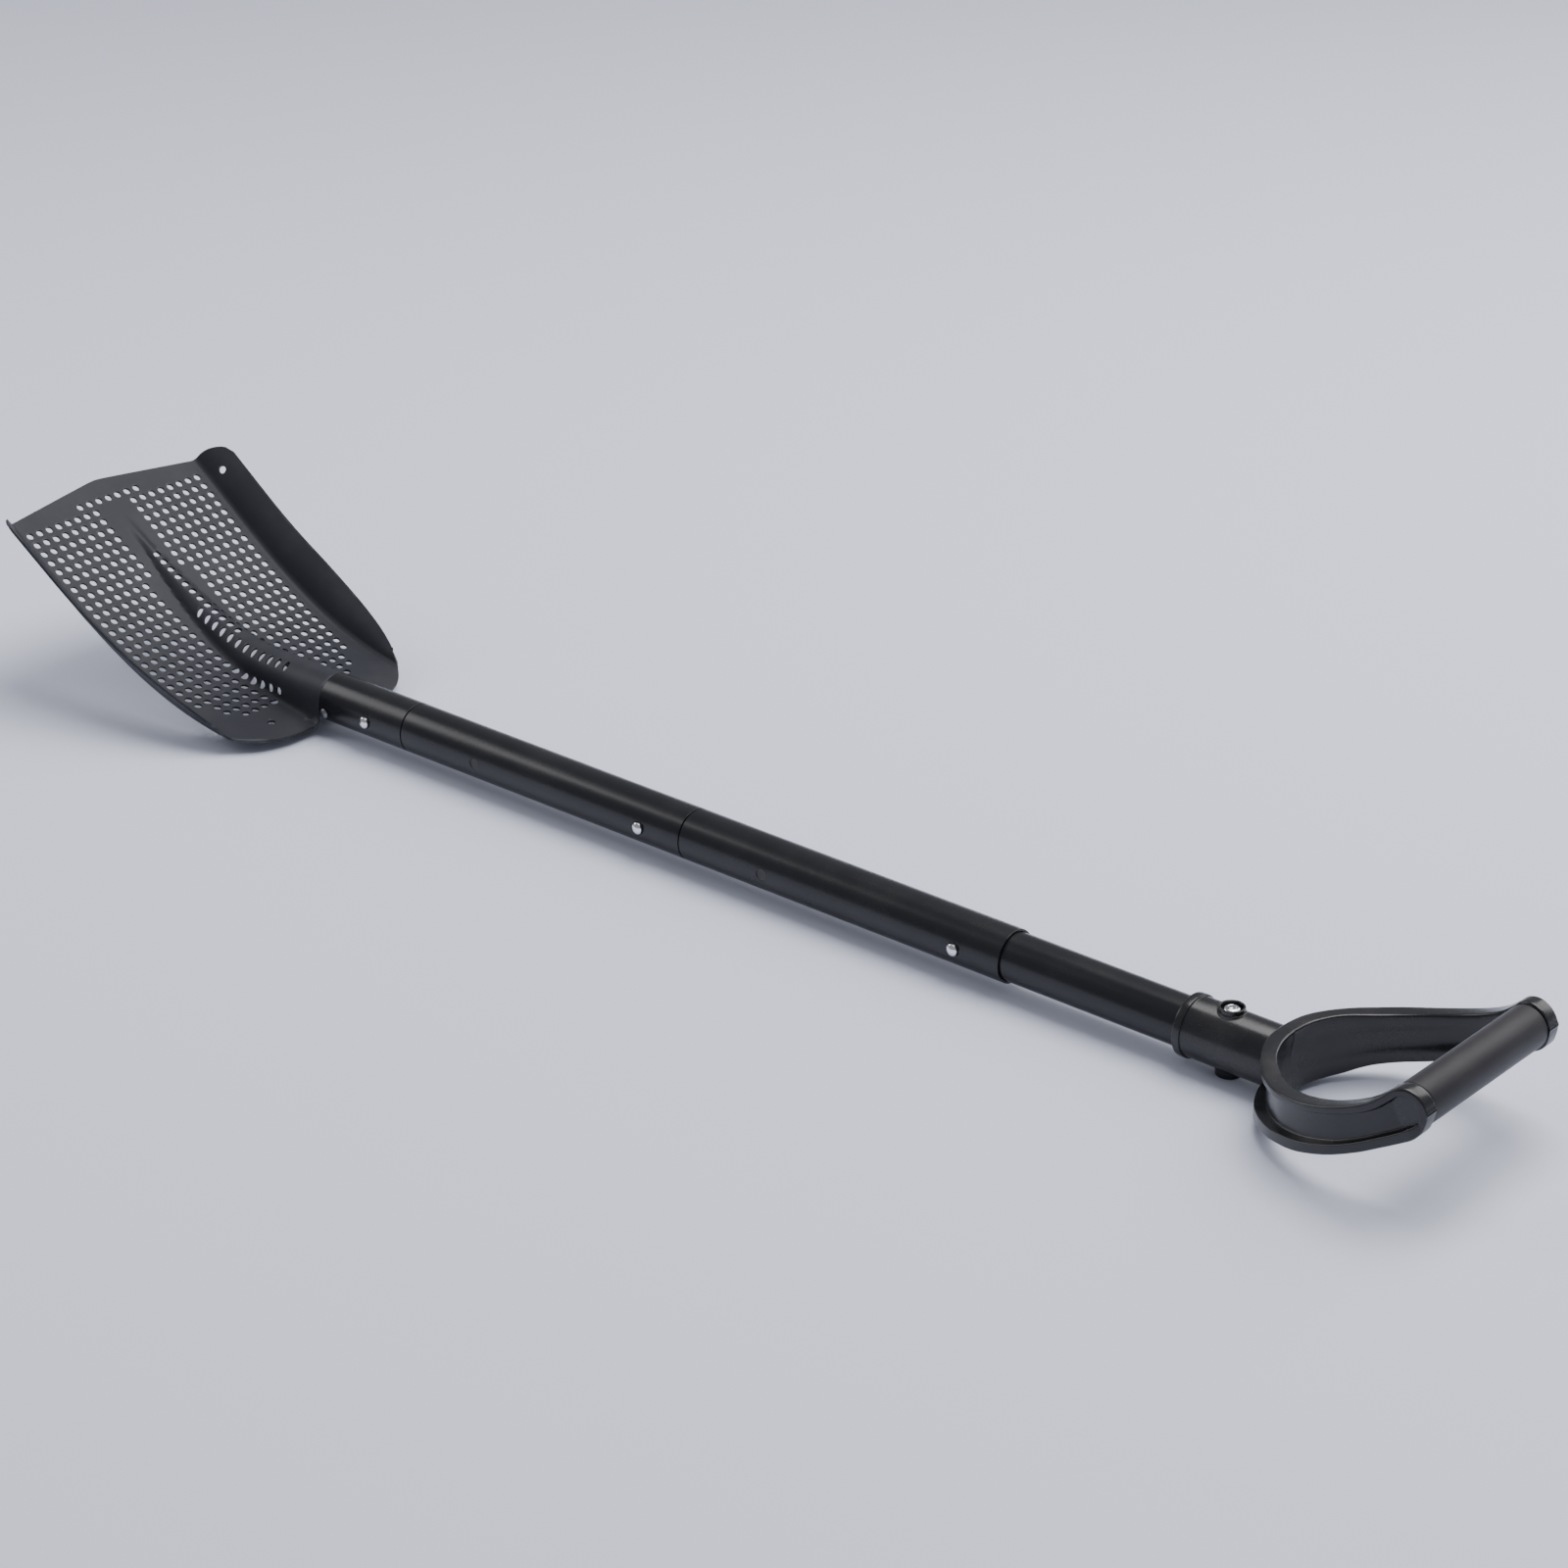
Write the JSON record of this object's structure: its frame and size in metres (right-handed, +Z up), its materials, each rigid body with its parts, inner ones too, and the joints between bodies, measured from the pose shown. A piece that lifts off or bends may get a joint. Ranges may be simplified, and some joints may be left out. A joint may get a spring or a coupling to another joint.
{
  "type": "beach sand scoop",
  "caption": "Long-handled sifting scoop with a perforated pressed blade, a rolled socket, a sectional tube handle with snap buttons and a D grip.",
  "frame": {"origin": "under the middle of the object, on the surface that it stands on", "axes": "+X along the handle towards the D grip, +Y across the blade, +Z up, out of the hollow of the blade"},
  "size_m": [1.074, 0.1912, 0.1159],
  "materials": {
    "blade_black": "satin charcoal powder coat on pressed carbon steel",
    "tube_black": "satin black powder coat on steel tube",
    "tube_black_weld": "powder-coated weld metal",
    "bare_steel": "plain zinc-plated steel",
    "inner_steel": "drawn steel, lightly oiled",
    "bright_steel": "bright nickel plate",
    "grip_plastic": "black moulded plastic, semi-gloss",
    "grip_rubber": "dark matt sleeve with a fine moulded grain"
  },
  "bodies": {
    "scoop_frame": {"scoop_blade": "blade_black", "socket_rivets": "bare_steel", "lower_tube": "tube_black", "upper_tube": "tube_black", "grip_tube": "tube_black", "lower_ferrule": "inner_steel", "upper_ferrule": "inner_steel", "lower_plug_weld": "tube_black_weld", "upper_plug_weld": "tube_black_weld", "lower_spring": "inner_steel", "middle_spring": "inner_steel", "upper_spring": "inner_steel", "grip_yoke": "grip_plastic", "grip_bar": "grip_plastic", "grip_sleeve": "grip_rubber", "clamp_screw": "bright_steel", "clamp_nut": "bare_steel", "upper_cup_washer": "grip_plastic", "lower_cup_washer": "grip_plastic"},
    "lower_button_pin": {"lower_button": "bright_steel"},
    "middle_button_pin": {"middle_button": "bright_steel"},
    "upper_button_pin": {"upper_button": "bright_steel"}
  },
  "joints": [
    {"name": "lower_button_press", "type": "slide", "parent": "scoop_frame", "child": "lower_button_pin", "axis": [0, 1, 0], "range_m": [0, 0.0045], "stiffness_N_per_m": 2000, "springref_m": -0.001, "deforming": ["lower_spring"]},
    {"name": "middle_button_press", "type": "slide", "parent": "scoop_frame", "child": "middle_button_pin", "axis": [0, 1, 0], "range_m": [0, 0.0045], "stiffness_N_per_m": 2000, "springref_m": -0.001, "deforming": ["middle_spring"]},
    {"name": "upper_button_press", "type": "slide", "parent": "scoop_frame", "child": "upper_button_pin", "axis": [0, 1, 0], "range_m": [0, 0.0045], "stiffness_N_per_m": 2000, "springref_m": -0.001, "deforming": ["upper_spring"]}
  ]
}
